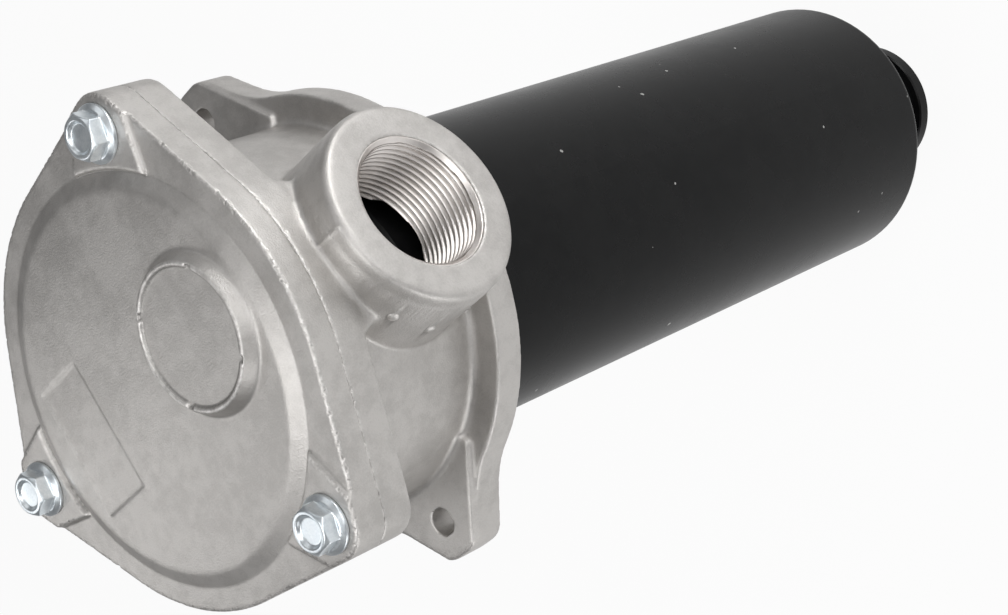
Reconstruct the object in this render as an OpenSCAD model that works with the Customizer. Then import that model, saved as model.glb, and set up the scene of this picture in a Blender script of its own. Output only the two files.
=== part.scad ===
// Tank-top return line filter. A cast head with a side inlet port carries a bolted cover above
// and a steel canister below, with a pleated element and its bypass valve inside.
// Millimetres. +Z runs up through the cover, +X out of the inlet port, and the origin is the
// centre of the tank flange's underside.

/* [Head casting] */
// Outside radius of the round head body
body_r = 62; // [61:0.5:65]
// Wall thickness of the head body
body_wall = 6; // [5:0.25:6.5]
// Height from the tank flange's underside up to the cover joint
head_h = 72.5; // [70:0.5:80]
// Thickness of the head's upper rim
rim_t = 11; // [10:0.5:13]
// How far the round rim stands out beyond the head body
rim_over = 9.8; // [9:0.2:11]
// Radius of the cast fillets between the head body and its rim and flange
cast_fillet = 2.5; // [1.5:0.5:4]

/* [Cover lugs] */
// Distance of the cover bolts beyond the round rim's edge
bolt_out = 3; // [2.4:0.2:6]
// Radius of each bolt lug's end
lug_r = 11.8; // [11:0.2:13]
// Angle of the first bolt lug from the inlet port
lug_angle = 60; // [55:1:65]

/* [Tank flange] */
// Thickness of the tank flange
flange_t = 11; // [9:0.5:12]
// How far the round tank flange stands out beyond the head body
flange_over = 10; // [9.5:0.5:13]
// Height of the raised pad on each flange ear
ear_pad_h = 2; // [1:0.5:3]
// Distance of each ear's hole beyond the round flange's edge
ear_hole_out = 3; // [2:0.5:7]
// Radius of the ear holes
ear_hole_r = 4.5; // [3.5:0.25:5]
// Distance from an ear hole's centre to the end of the ear
ear_end = 12.3; // [11.5:0.5:15]
// Corner radius of an ear's end
ear_corner_r = 9; // [7:0.5:10]
// Half width of the flat end of an ear, between its corner centres
ear_flat_half = 2.5; // [1.5:0.5:4]
// Lean of an ear's straight sides from the line through both ear holes
ear_lean = 40; // [36:1:42]
// Radius that blends an ear's side into the round flange
ear_blend_r = 42; // [30:2:54]

/* [Inlet port] */
// Height of the port's axis above the tank flange's underside
port_z = 33; // [33:0.5:38]
// Outside radius of the port boss
port_boss_r = 32; // [29:0.25:32.5]
// How far the port's face stands out beyond the head body
port_reach = 22.7; // [20:0.5:30]
// Radius of the port's thread at its roots
port_thread_r = 20.955; // [18:0.05:21]
// Chamfer at the mouth of the port
port_chamfer = 0.65; // [0.4:0.05:1.5]
// Rounding of the port boss at its face
port_edge = 2; // [0.8:0.2:2.6]
// Half width of the web between the port boss and the head's rim
port_web_half = 26.5; // [24:0.5:28]

/* [Cover] */
// Thickness of the cover's rim
cover_rim_t = 9.5; // [8:0.5:12]
// Height of the cover's raised middle above its rim
plateau_h = 2.6; // [2:0.2:4]
// Height of the bolt pads above the cover's rim
pad_h = 1.6; // [1:0.2:2.4]
// Distance from the edge of the round rim in to the foot of the raised middle
plateau_inset = 7.9; // [7:0.2:9]
// Width of the slope round the raised middle
plateau_slope = 5.2; // [4:0.2:7]
// Thickness of the cover's raised middle
cover_top_t = 7; // [6:0.5:8]
// Radius of the round blank boss at its foot
boss_r = 25; // [22:0.5:26]
// Distance of the round blank boss from the cover's centre
boss_offset = 33; // [30:0.5:34]
// Height of the round blank boss
boss_h = 4.5; // [3:0.5:6]
// How much smaller the blank boss is at its top
boss_draft = 2.8; // [1:0.2:4]
// Width of the rim round the recess in the blank boss
boss_rim_w = 1.4; // [1:0.2:3]
// Depth of the recess in the blank boss
boss_recess = 0.9; // [0.5:0.1:1.5]
// Length of the bare label recess along Y
label_l = 44; // [36:1:46]
// Width of the bare label recess along X
label_w = 23; // [18:1:26]
// Distance of the label recess's outer edge from the cover's centre
label_edge_x = 49.5; // [46:0.5:51]
// Depth of the bare label recess
label_depth = 0.5; // [0.3:0.1:0.8]
// Length of the cover's ring that centres it in the head
pilot_l = 6; // [4:0.5:7]
// Wall thickness of the cover's centring ring
pilot_wall = 5.5; // [4:0.5:6]

/* [Cover bolts] */
// Radius of the bolt shanks
bolt_r = 4; // [3.5:0.25:4]
// Radial clearance of the bolts in the cover
bolt_gap = 0.5; // [0.3:0.1:0.8]
// Length of the bolts under the head
bolt_l = 20; // [18:1:22]
// Width across the flats of the bolt heads
bolt_flats = 13; // [12:0.5:14]
// Radius of the flange under a bolt head
bolt_flange_r = 9; // [8.5:0.25:9.5]
// Height of the bolt heads with their flange
bolt_head_h = 7; // [6.5:0.1:9]

/* [Canister] */
// Distance from the head's chamber wall in to the canister
can_inset = 4.3; // [4:0.1:7]
// Wall thickness of the canister
can_wall = 1.5; // [1.2:0.1:2]
// Depth of the canister below the tank flange's underside
can_drop = 275; // [180:5:320]
// Rounding of the canister's lower edge, outside
can_corner = 3.5; // [2.5:0.5:8]
// Thickness of the lip that carries the canister in the head
lip_t = 2.5; // [2:0.25:3]
// Height of the ledge in the head above the flange's underside
ledge_z = 5; // [4.6:0.1:5.5]
// Radial clearance of the canister in the head
can_gap = 0.3; // [0.2:0.1:0.5]

/* [Outlet neck] */
// Inside radius of the outlet neck
outlet_r = 21; // [16:0.5:21.5]
// Wall thickness of the outlet neck
outlet_wall = 3; // [2.5:0.25:3.5]
// Distance from the canister's bottom to the end of the outlet neck
outlet_l = 50.5; // [35:0.5:70]
// How far the ring at the neck's end stands out from the neck
outlet_ring_h = 3; // [2:0.25:4]
// Width of the ring at the neck's end
outlet_ring_w = 6.5; // [4:0.5:10]
// Thickness of the neck's welding collar inside the canister
collar_t = 2; // [1.5:0.25:3]
// Width of that collar
collar_w = 6; // [4.5:0.5:8]

/* [Filter element] */
// Height of the element's top above the tank flange's underside
element_top_z = 13; // [11:0.5:15]
// Radial clearance between the element's end caps and the canister
cap_gap = 5.2; // [4.2:0.1:7.2]
// Thickness of the end caps' plates
cap_t = 4; // [3:0.5:5]
// Depth of the skirt round each end cap
skirt_h = 8; // [6:1:12]
// Wall thickness of the skirts
skirt_wall = 1.4; // [1:0.1:2]
// Height of the bottom cap's socket over the outlet neck
socket_h = 9; // [8:0.5:12]
// Wall thickness of that socket
socket_wall = 5; // [4.5:0.25:6]
// Number of pleats in the filter media
pleats = 48; // [36:4:54]
// Thickness of the pleated media
media_t = 0.8; // [0.6:0.05:0.9]
// Inside radius of the perforated support tube
core_r = 22.4; // [22:0.1:23]
// Wall thickness of the support tube
core_wall = 1.6; // [1.2:0.1:2]
// Rows of holes along the support tube
core_rows = 9; // [6:1:12]
// Holes in each row
core_holes = 6; // [4:1:8]
// Radius of those holes
core_hole_r = 4; // [3:0.5:5]

/* [Bypass valve] */
// Radius of the bypass opening in the element's top cap
seat_r = 14; // [12:0.5:14.5]
// Height of the raised seat round that opening
seat_h = 1; // [0.6:0.1:1.5]
// Width of the raised seat
seat_w = 1.5; // [1:0.1:2]
// How far the poppet's edge stands out beyond the seat
poppet_over = 1; // [0.6:0.1:1.2]
// Thickness of the poppet's disc
poppet_t = 3.5; // [3:0.25:5]
// Thickness of the rubber washer let into the poppet
washer_t = 1.5; // [1:0.1:2]
// Radius of the poppet's stem
stem_r = 3.5; // [3:0.25:4]
// Radial clearance of the stem in its guide
stem_gap = 0.06; // [0.03:0.01:0.1]
// Travel of the poppet from closed to fully open
poppet_travel = 8; // [5:0.5:10]
// Wall thickness of the valve cage
cage_wall = 1.5; // [1.2:0.1:1.8]
// Inside depth of the valve cage
cage_h = 34; // [30:1:40]
// Thickness of the valve cage's bottom
cage_floor = 3; // [2.5:0.25:4]
// Radius of the bypass spring to the middle of its wire
bypass_coil_r = 9; // [7:0.5:11]
// Wire radius of the bypass spring
bypass_wire_r = 0.8; // [0.6:0.05:0.9]
// Turns of the bypass spring
bypass_turns = 6; // [5:0.5:7]

/* [Hold-down spring] */
// Radius of the hold-down spring to the middle of its wire
hold_coil_r = 24; // [21:0.5:28]
// Wire radius of the hold-down spring
hold_wire_r = 1.6; // [1.2:0.1:2]
// Turns of the hold-down spring
hold_turns = 4.5; // [3.5:0.5:6]

/* [Seals] */
// Distance from the round tank flange's edge in to the middle of the tank seal's cord
tank_seal_in = 10.5; // [8.5:0.25:12]
// Cord diameter of the tank seal
tank_cord = 3.5; // [3:0.1:4]
// How far the tank seal stands proud of the flange
tank_proud = 0.9; // [0.6:0.1:1.2]
// Distance from the chamber wall out to the middle of the cover seal's cord
cover_seal_out = 4.5; // [3.5:0.25:6]
// Cord diameter of the cover seal
cover_cord = 3; // [2.5:0.1:3.5]
// Cord diameter of the canister seal
can_cord = 2; // [1.8:0.05:2.1]
// Cord diameter of the element seal
element_cord = 3; // [2.5:0.1:3.5]

/* [Hidden] */
// Names of all pieces
$fn = 96;
// Clearance between faces that seat on each other
seat_gap = 0.1;
// Overlap that makes cuts and joined shapes pass through each other
cut = 1;
// How far a lug's side dips inside the round rim, so that the two cross cleanly
dip = 0.06;
// Steps in a drawn arc
arc_n = 12;

// Head
chamber_r = body_r - body_wall;
rim_r = body_r + rim_over;
bolt_pitch_r = rim_r + bolt_out;
rim_z = head_h - rim_t;
flange_r = body_r + flange_over;
port_x = body_r + port_reach;
lug_angles = [lug_angle, 180, -lug_angle];
// Ears of the tank flange
ear_hole_y = flange_r + ear_hole_out;
ear_tip_y = ear_hole_y + ear_end;
// How far the ear pad's side lies inside the ear's side at its corner
pad_inset = 0.6;
// Where a pad's side ends inside the body's wall
pad_root_angle = 42;
// How far the ear's blend dips inside the round flange, and a fillet inside its wall
blend_dip = 0.15;
// How far the port's web lies inside the rim's edge, so that their faces stay apart
web_inset = 0.4;
// Cover
cover_rim_z = head_h + cover_rim_t;
plateau_z = cover_rim_z + plateau_h;
pad_z = cover_rim_z + pad_h;
cover_inner_z = plateau_z - cover_top_t;
plateau_foot_r = rim_r - plateau_inset;
plateau_top_r = plateau_foot_r - plateau_slope;
pilot_gap = 0.3;
pilot_r = chamber_r - pilot_gap;
pilot_inner_r = pilot_r - pilot_wall;
boss_top_r = boss_r - boss_draft;
recess_r = boss_top_r - boss_rim_w;
nick = 2.4;
pad_foot_half = lug_r + 4.9;
pad_end_half = lug_r - 0.9;
// Flat strip between the slope's foot and a bolt pad
pad_step = 0.3;
// Seals
tank_seal_r = flange_r - tank_seal_in;
cover_seal_r = chamber_r + cover_seal_out;
// Canister
can_r = chamber_r - can_inset;
bore_r = can_r + can_gap;
lip_gap = 0.7;
lip_r = chamber_r - lip_gap;
lip_z = ledge_z + seat_gap;
lip_top_z = lip_z + lip_t;
floor_z = -can_drop + can_wall;
can_seal_gap = 0.15;
can_seal_r = can_r + can_seal_gap + can_cord / 2;
rebate_r = can_seal_r + can_cord / 2 + 0.5;
rebate_z = ledge_z - can_cord - 2 * seat_gap;
snap_t = 1.8;
snap_bite = 1.6;
snap_gap_w = 16;
// Outlet
neck_r = outlet_r + outlet_wall;
neck_end_z = -can_drop - outlet_l;
collar_top_z = floor_z + collar_t + seat_gap;
// Element
cap_r = can_r - can_wall - cap_gap;
socket_z = collar_top_z + seat_gap;
socket_r = neck_r + can_gap;
neck_top_z = socket_z + socket_h - cut;
low_plate_z = socket_z + socket_h;
media_z0 = low_plate_z + cap_t + seat_gap;
top_plate_z = element_top_z - cap_t;
media_z1 = top_plate_z - seat_gap;
core_out_r = core_r + core_wall;
media_in_r = core_out_r + 0.4;
media_out_r = cap_r - skirt_wall - 0.3;
element_seal_z = socket_z + socket_h / 2;
element_groove_r = socket_r + element_cord * 0.8;
// Bypass valve
seat_z = top_plate_z - seat_h;
poppet_r = seat_r + seat_w + poppet_over;
poppet_top_z = seat_z - 0.05;
poppet_low_z = poppet_top_z - poppet_t;
cage_in_r = core_r - cage_wall - 0.5;
cage_r = cage_in_r + cage_wall;
cage_top_z = top_plate_z - seat_gap;
cage_floor_z = cage_top_z - cage_h;
cage_low_z = cage_floor_z - cage_floor;
window_w = 14;
window_top = 12;
guide_r = stem_r + stem_gap;
stem_low_z = cage_low_z - 1.5;
// Hold-down spring
hold_z0 = element_top_z + seat_gap;
hold_z1 = cover_inner_z - seat_gap;
guide_ring_r = hold_coil_r - hold_wire_r - 0.8;
guide_ring_h = 4;
guide_ring_wall = 2.4;

function arc_points(c, r, a0, a1, n = arc_n) =
    [for (i = [0 : n]) c + r * [cos(a0 + (a1 - a0) * i / n), sin(a0 + (a1 - a0) * i / n)]];

// Angle at which a straight side touches both the round rim and a lug's end
function tangent_angle(big_r, small_r, apart) = acos((big_r - small_r) / apart);

// One bolt lug, pointing along +X, with sides that touch the round rim
module lug_shape() {
    touch = tangent_angle(rim_r, lug_r, bolt_pitch_r);
    polygon(concat(
        [[0, 0], (rim_r - dip) * [cos(touch), -sin(touch)]],
        arc_points([bolt_pitch_r, 0], lug_r, -touch, touch),
        [(rim_r - dip) * [cos(touch), sin(touch)]]));
}

// Outline shared by the cover and the head's rim
module rim_shape() {
    circle(r = rim_r);
    for (a = lug_angles) rotate(a) lug_shape();
}

// One flange ear pointing along +Y: a round corner, a leaning straight side and a hollow arc
// that blends into the round flange
module ear_shape() {
    corner = [ear_flat_half, ear_tip_y - ear_corner_r];
    out = [cos(ear_lean), sin(ear_lean)];
    along = [-sin(ear_lean), cos(ear_lean)];
    side = out * corner + ear_corner_r;
    big = flange_r - blend_dip + ear_blend_r;
    blend = (side + ear_blend_r) * out
        + sqrt(big * big - (side + ear_blend_r) * (side + ear_blend_r)) * along;
    right = concat([[0, 0]],
        arc_points(blend, ear_blend_r, 180 + atan2(blend[1], blend[0]), 180 + ear_lean, 8),
        arc_points(corner, ear_corner_r, ear_lean, 90));
    left = [for (i = [len(right) - 1 : -1 : 1]) [-right[i][0], right[i][1]]];
    polygon(concat(right, left));
}

// Raised pad on an ear, a wedge with straight sides that runs back into the head body
module ear_pad_shape() {
    root = (body_r - body_wall / 2) * [cos(pad_root_angle), sin(pad_root_angle)];
    near = [ear_flat_half, ear_tip_y - ear_corner_r]
        + (ear_corner_r - pad_inset) * [cos(ear_lean), sin(ear_lean)];
    tip = near + (near - root) * (ear_tip_y + cut - near[1]) / (near[1] - root[1]);
    intersection() {
        ear_shape();
        polygon([root, tip, [-tip[0], tip[1]], [-root[0], root[1]]]);
    }
}

// Fillet between an ear pad's top and the head body
module pad_fillet() {
    low = flange_t + ear_pad_h;
    intersection() {
        translate([0, 0, low - cut]) linear_extrude(cast_fillet + 2 * cut) ear_pad_shape();
        rotate_extrude()
            polygon(concat([[chamber_r + 1, low - cut / 2], [body_r + cast_fillet, low - cut / 2]],
                arc_points([body_r + cast_fillet - dip, low + cast_fillet - dip], cast_fillet,
                    270, 180, 6),
                [[chamber_r + 1, low + cast_fillet - dip]]));
    }
}

module head_body() {
    rotate_extrude()
        polygon(concat(
            [[0, 0], [flange_r, 0], [flange_r, flange_t]],
            arc_points([body_r + cast_fillet, flange_t + cast_fillet], cast_fillet, 270, 180, 6),
            arc_points([body_r + cast_fillet, rim_z - cast_fillet], cast_fillet, 180, 90, 6),
            [[body_r + cast_fillet, head_h - cut], [0, head_h - cut]]));
}

// Web that fills the corner between the port boss and the underside of the head's rim
module port_web() {
    foot_half = port_web_half - 4.5;
    intersection() {
        translate([chamber_r / 2, 0, 0])
            rotate([90, 0, 90])
                linear_extrude(rim_r)
                    polygon([[-foot_half, port_z + 20], [foot_half, port_z + 20],
                        [port_web_half, rim_z + cut], [-port_web_half, rim_z + cut]]);
        cylinder(r = rim_r - web_inset, h = head_h);
    }
}

module port_boss() {
    translate([0, 0, port_z])
        rotate([0, 90, 0])
            rotate_extrude()
                polygon(concat([[0, chamber_r / 2], [port_boss_r, chamber_r / 2]],
                    arc_points([port_boss_r - port_edge, port_x - port_edge], port_edge, 0, 90, 3),
                    [[0, port_x]]));
}

module port_bore() {
    translate([0, 0, port_z])
        rotate([0, 90, 0])
            rotate_extrude()
                polygon([[0, chamber_r / 2 - cut], [port_thread_r, chamber_r / 2 - cut],
                    [port_thread_r, port_x - port_chamfer],
                    [port_thread_r + port_chamfer + cut, port_x + cut], [0, port_x + cut]]);
}

// Chamber, canister seat and seal rebate, turned in one profile
module head_bore() {
    rotate_extrude()
        polygon([[0, -cut], [bore_r, -cut], [bore_r, rebate_z], [rebate_r, rebate_z],
            [rebate_r, ledge_z], [chamber_r, ledge_z], [chamber_r, head_h + cut],
            [0, head_h + cut]]);
}

module ring_groove(mid_r, width, z0, z1) {
    translate([0, 0, z0])
        difference() {
            cylinder(r = mid_r + width / 2, h = z1 - z0);
            translate([0, 0, -cut])
                cylinder(r = mid_r - width / 2, h = z1 - z0 + 2 * cut);
        }
}

module head() {
    color("#b3b0ab")
        difference() {
            union() {
                head_body();
                translate([0, 0, rim_z]) linear_extrude(rim_t) rim_shape();
                for (side = [0, 180]) rotate(side) {
                    linear_extrude(flange_t) ear_shape();
                    linear_extrude(flange_t + ear_pad_h) ear_pad_shape();
                    pad_fillet();
                }
                port_boss();
                port_web();
            }
            head_bore();
            port_bore();
            ring_groove(tank_seal_r, tank_cord * 1.3, -cut, tank_cord - tank_proud);
            ring_groove(cover_seal_r, cover_cord * 1.3, head_h - cover_cord - 2 * seat_gap,
                head_h + cut);
            translate([0, 0, lip_top_z + seat_gap])
                cylinder(r = chamber_r + snap_bite, h = snap_t + 2 * seat_gap);
            for (a = lug_angles) rotate(a)
                translate([bolt_pitch_r, 0, rim_z - cut])
                    cylinder(r = bolt_r, h = rim_t + 2 * cut);
            for (side = [-1, 1])
                translate([0, side * ear_hole_y, -cut])
                    cylinder(r = ear_hole_r, h = flange_t + ear_pad_h + 2 * cut);
        }
}

// Raised pad under one bolt head, clear of the slope round the cover's middle
module bolt_pad() {
    difference() {
        intersection() {
            linear_extrude(pad_z) lug_shape();
            translate([0, 0, head_h + cut])
                linear_extrude(pad_z - head_h - cut)
                    polygon([[plateau_foot_r - 4, -pad_foot_half],
                        [bolt_pitch_r + lug_r + cut, -pad_end_half],
                        [bolt_pitch_r + lug_r + cut, pad_end_half],
                        [plateau_foot_r - 4, pad_foot_half]]);
        }
        cylinder(r = plateau_foot_r + pad_step, h = plateau_z + cut);
    }
}

module cover_plateau() {
    translate([0, 0, cover_rim_z - cut])
        cylinder(r = plateau_foot_r, h = cut);
    translate([0, 0, cover_rim_z])
        cylinder(r1 = plateau_foot_r, r2 = plateau_top_r, h = plateau_h);
}

module blank_boss() {
    translate([boss_offset, 0, plateau_z - cut])
        cylinder(r1 = boss_r, r2 = boss_top_r, h = boss_h + cut);
}

// Shallow round recess with four square nicks in its edge
module boss_recess_cut() {
    translate([boss_offset, 0, plateau_z + boss_h - boss_recess]) {
        cylinder(r = recess_r, h = boss_recess + cut);
        for (a = [45 : 90 : 315]) rotate(a)
            translate([recess_r - nick / 2, -nick / 2, 0])
                cube([nick, nick, boss_recess + cut]);
    }
}

module cover() {
    color("#b0ada8")
        difference() {
            union() {
                translate([0, 0, head_h]) linear_extrude(cover_rim_t) rim_shape();
                cover_plateau();
                for (a = lug_angles) rotate(a) bolt_pad();
                blank_boss();
                translate([0, 0, head_h - pilot_l]) cylinder(r = pilot_r, h = pilot_l + cut);
            }
            difference() {
                translate([0, 0, head_h - pilot_l - cut])
                    cylinder(r = pilot_inner_r, h = cover_inner_z - head_h + pilot_l + cut);
                translate([0, 0, cover_inner_z - guide_ring_h])
                    ring_groove(guide_ring_r - guide_ring_wall / 2, guide_ring_wall, 0,
                        guide_ring_h + cut);
            }
            boss_recess_cut();
            translate([-label_edge_x, -label_l / 2, plateau_z - label_depth])
                cube([label_w, label_l, label_depth + cut]);
            for (a = lug_angles) rotate(a)
                translate([bolt_pitch_r, 0, head_h - cut])
                    cylinder(r = bolt_r + bolt_gap, h = plateau_z - head_h + 2 * cut);
        }
}

// Hex flange bolt with a dished top, standing on its flange at z = 0
module flange_bolt() {
    flange_h = 2.2;
    edge_h = 1;
    hex_r = bolt_flats / 2 / cos(30);
    dish_r = bolt_flats / 2 - 1.6;
    dish = 0.7;
    rotate_extrude()
        polygon([[0, 0], [bolt_flange_r, 0], [bolt_flange_r, edge_h], [hex_r, flange_h],
            [0, flange_h]]);
    difference() {
        intersection() {
            cylinder(r = hex_r, h = bolt_head_h, $fn = 6);
            rotate_extrude()
                polygon([[0, 0], [hex_r + cut, 0], [hex_r + cut, bolt_head_h - 2],
                    [bolt_flats / 2 - 0.4, bolt_head_h], [0, bolt_head_h]]);
        }
        translate([0, 0, bolt_head_h - dish])
            cylinder(r1 = dish_r - dish, r2 = dish_r + dish, h = 2 * dish);
    }
    translate([0, 0, -bolt_l])
        rotate_extrude()
            polygon([[0, 0], [bolt_r - seat_gap - 0.8, 0], [bolt_r - seat_gap, 0.8],
                [bolt_r - seat_gap, bolt_l + cut], [0, bolt_l + cut]]);
}

module cover_bolt(i) {
    turn = [12, 20, 8];
    color("#b9c2c6")
        rotate(lug_angles[i])
            translate([bolt_pitch_r, 0, pad_z + seat_gap / 2])
                rotate(turn[i]) flange_bolt();
}

module seal_ring(mid_r, cord, z) {
    color("#1c1c1c")
        translate([0, 0, z])
            rotate_extrude() translate([mid_r, 0]) circle(d = cord);
}

module cover_seal() { seal_ring(cover_seal_r, cover_cord, head_h - seat_gap - cover_cord / 2); }

module tank_seal() { seal_ring(tank_seal_r, tank_cord, tank_cord / 2 - tank_proud - seat_gap); }

module canister_seal() { seal_ring(can_seal_r, can_cord, rebate_z + seat_gap + can_cord / 2); }

module element_seal() {
    seal_ring(neck_r + seat_gap / 2 + element_cord / 2, element_cord, element_seal_z);
}

module canister() {
    color("#1f2022")
        rotate_extrude()
            polygon(concat(
                [[neck_r + seat_gap, floor_z], [neck_r + seat_gap, -can_drop]],
                arc_points([can_r - can_corner, -can_drop + can_corner], can_corner, 270, 360, 6),
                [[can_r, lip_z], [lip_r, lip_z], [lip_r, lip_top_z], [can_r - can_wall, lip_top_z]],
                arc_points([can_r - can_corner, -can_drop + can_corner], can_corner - can_wall,
                    360, 270, 6)));
}

module canister_snap_ring() {
    color("#6c6e70")
        difference() {
            ring_groove(chamber_r - 1, 2 * snap_bite - 0.2, lip_top_z + 2 * seat_gap,
                lip_top_z + 2 * seat_gap + snap_t);
            translate([-chamber_r - 2 * snap_bite, -snap_gap_w / 2, lip_z])
                cube([4 * snap_bite, snap_gap_w, lip_t + snap_t + cut]);
        }
}

module outlet_neck() {
    ring_r = neck_r + outlet_ring_h;
    edge = 0.6;
    color("#222325")
        rotate_extrude()
            polygon([[outlet_r, neck_end_z], [ring_r - edge, neck_end_z],
                [ring_r, neck_end_z + edge], [ring_r, neck_end_z + outlet_ring_w - edge],
                [ring_r - edge, neck_end_z + outlet_ring_w], [neck_r, neck_end_z + outlet_ring_w],
                [neck_r, floor_z + seat_gap], [neck_r + collar_w, floor_z + seat_gap],
                [neck_r + collar_w, collar_top_z], [neck_r, collar_top_z],
                [neck_r, neck_top_z - cut], [neck_r - cut, neck_top_z], [outlet_r, neck_top_z]]);
}

module element_top_cap() {
    color("#1a1a1b")
        rotate_extrude()
            polygon([[seat_r, seat_z], [seat_r + seat_w, seat_z], [seat_r + seat_w, top_plate_z],
                [cap_r - skirt_wall, top_plate_z], [cap_r - skirt_wall, top_plate_z - skirt_h],
                [cap_r, top_plate_z - skirt_h], [cap_r, element_top_z - cut],
                [cap_r - cut, element_top_z], [seat_r + cut, element_top_z],
                [seat_r, element_top_z - cut]]);
}

module element_bottom_cap() {
    groove_half = element_cord * 0.6;
    socket_out_r = socket_r + socket_wall;
    color("#1a1a1b")
        rotate_extrude()
            polygon([[socket_r, socket_z], [socket_out_r, socket_z], [socket_out_r, low_plate_z],
                [cap_r, low_plate_z], [cap_r, media_z0 + skirt_h],
                [cap_r - skirt_wall, media_z0 + skirt_h], [cap_r - skirt_wall, low_plate_z + cap_t],
                [socket_r, low_plate_z + cap_t], [socket_r, element_seal_z + groove_half],
                [element_groove_r + 0.8, element_seal_z + groove_half],
                [element_groove_r + 0.8, element_seal_z - groove_half],
                [socket_r, element_seal_z - groove_half]]);
}

// Closed outline of one side of the pleated sheet: flat tips at out_r, flat folds at in_r
function pleat_outline(out_r, in_r, tip_half, fold_half) =
    [for (i = [0 : pleats - 1])
        for (p = [[out_r, -tip_half / out_r], [out_r, tip_half / out_r],
                [in_r, PI / pleats - fold_half / in_r], [in_r, PI / pleats + fold_half / in_r]])
            let (a = i * 360 / pleats + p[1] * 180 / PI) p[0] * [cos(a), sin(a)]];

module pleated_media() {
    tip_half = 1.6;
    fold_half = 0.35;
    color("#d9cfa8")
        translate([0, 0, media_z0])
            linear_extrude(media_z1 - media_z0)
                difference() {
                    polygon(pleat_outline(media_out_r, media_in_r + media_t, tip_half, fold_half));
                    polygon(pleat_outline(media_out_r - media_t, media_in_r, tip_half - media_t,
                        fold_half + media_t));
                }
}

module support_tube() {
    pitch = (media_z1 - media_z0) / (core_rows + 1);
    color("#8c8f92")
        difference() {
            translate([0, 0, media_z0])
                difference() {
                    cylinder(r = core_out_r, h = media_z1 - media_z0);
                    translate([0, 0, -cut]) cylinder(r = core_r, h = media_z1 - media_z0 + 2 * cut);
                }
            for (row = [1 : core_rows], k = [0 : core_holes - 1])
                translate([0, 0, media_z0 + row * pitch])
                    rotate([0, 90, (k + (row % 2) / 2) * 360 / core_holes])
                        translate([0, 0, core_r - cut])
                            cylinder(r = core_hole_r, h = core_wall + 2 * cut);
        }
}

// Wire spring along Z, its end turns closed up to a little over the wire's thickness
module coil_spring(coil_r, wire_r, turns, z0, z1) {
    sides = 8;
    steps = 24;
    n = floor(turns * steps);
    closed = wire_r * 2.1;
    rise = z1 - z0 - 2 * wire_r;
    pitch = (rise - 2 * closed) / (turns - 2);
    function height(t) = t < 1 ? closed * t
        : t > turns - 1 ? rise - closed * (turns - t) : closed + pitch * (t - 1);
    points = [for (i = [0 : n], k = [0 : sides - 1])
        let (t = i * turns / n, a = t * 360, b = k * 360 / sides, r = coil_r + wire_r * cos(b))
            [r * cos(a), r * sin(a), z0 + wire_r + height(t) + wire_r * sin(b)]];
    skin = [for (i = [0 : n - 1], k = [0 : sides - 1])
        let (p = i * sides + k, q = i * sides + (k + 1) % sides)
            [p, p + sides, q + sides, q]];
    start_cap = [[for (k = [0 : sides - 1]) k]];
    end_cap = [[for (k = [sides - 1 : -1 : 0]) n * sides + k]];
    polyhedron(points = points, faces = concat(start_cap, skin, end_cap), convexity = 8);
}

module hold_down_spring() {
    color("#9a9da0") coil_spring(hold_coil_r, hold_wire_r, hold_turns, hold_z0, hold_z1);
}

module bypass_spring() {
    color("#9a9da0")
        coil_spring(bypass_coil_r, bypass_wire_r, bypass_turns, cage_floor_z + seat_gap,
            poppet_low_z - seat_gap);
}

// Cup below the top cap, with four windows and a guide hole for the poppet's stem
module bypass_cage() {
    color("#2a2a2c")
        difference() {
            rotate_extrude()
                polygon([[guide_r, cage_low_z], [cage_r, cage_low_z], [cage_r, cage_top_z],
                    [cage_in_r, cage_top_z], [cage_in_r, cage_floor_z], [guide_r, cage_floor_z]]);
            for (a = [0 : 90 : 270]) rotate(a)
                translate([cage_in_r - 2 * cut, -window_w / 2, cage_floor_z + cut])
                    cube([cage_wall + 4 * cut, window_w, cage_h - window_top]);
        }
}

module bypass_poppet() {
    washer_in = seat_r - 2;
    color("#8d8f91")
        rotate_extrude()
            polygon([[0, stem_low_z], [stem_r - 0.5, stem_low_z], [stem_r, stem_low_z + 0.5],
                [stem_r, poppet_low_z], [poppet_r, poppet_low_z],
                [poppet_r, poppet_top_z - washer_t], [washer_in, poppet_top_z - washer_t],
                [washer_in, poppet_top_z], [0, poppet_top_z]]);
}

module bypass_washer() {
    color("#1c1c1c")
        ring_groove((poppet_r + seat_r - 2 + seat_gap) / 2, poppet_r - seat_r + 2 - seat_gap,
            poppet_top_z - washer_t + seat_gap / 2, poppet_top_z);
}

head();
cover();
cover_bolt(0);  // cover_bolt_1
cover_bolt(1);  // cover_bolt_2
cover_bolt(2);  // cover_bolt_3
cover_seal();
tank_seal();
canister();
canister_seal();
canister_snap_ring();
outlet_neck();
element_top_cap();
element_bottom_cap();
pleated_media();
support_tube();
element_seal();
hold_down_spring();
bypass_cage();
bypass_poppet();
bypass_washer();
bypass_spring();
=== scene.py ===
# Tank-top return line filter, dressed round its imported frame. Everything is in metres, +Z up.
import math

import bmesh
import bpy
import numpy as np
from mathutils import Matrix, Vector, noise


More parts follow.
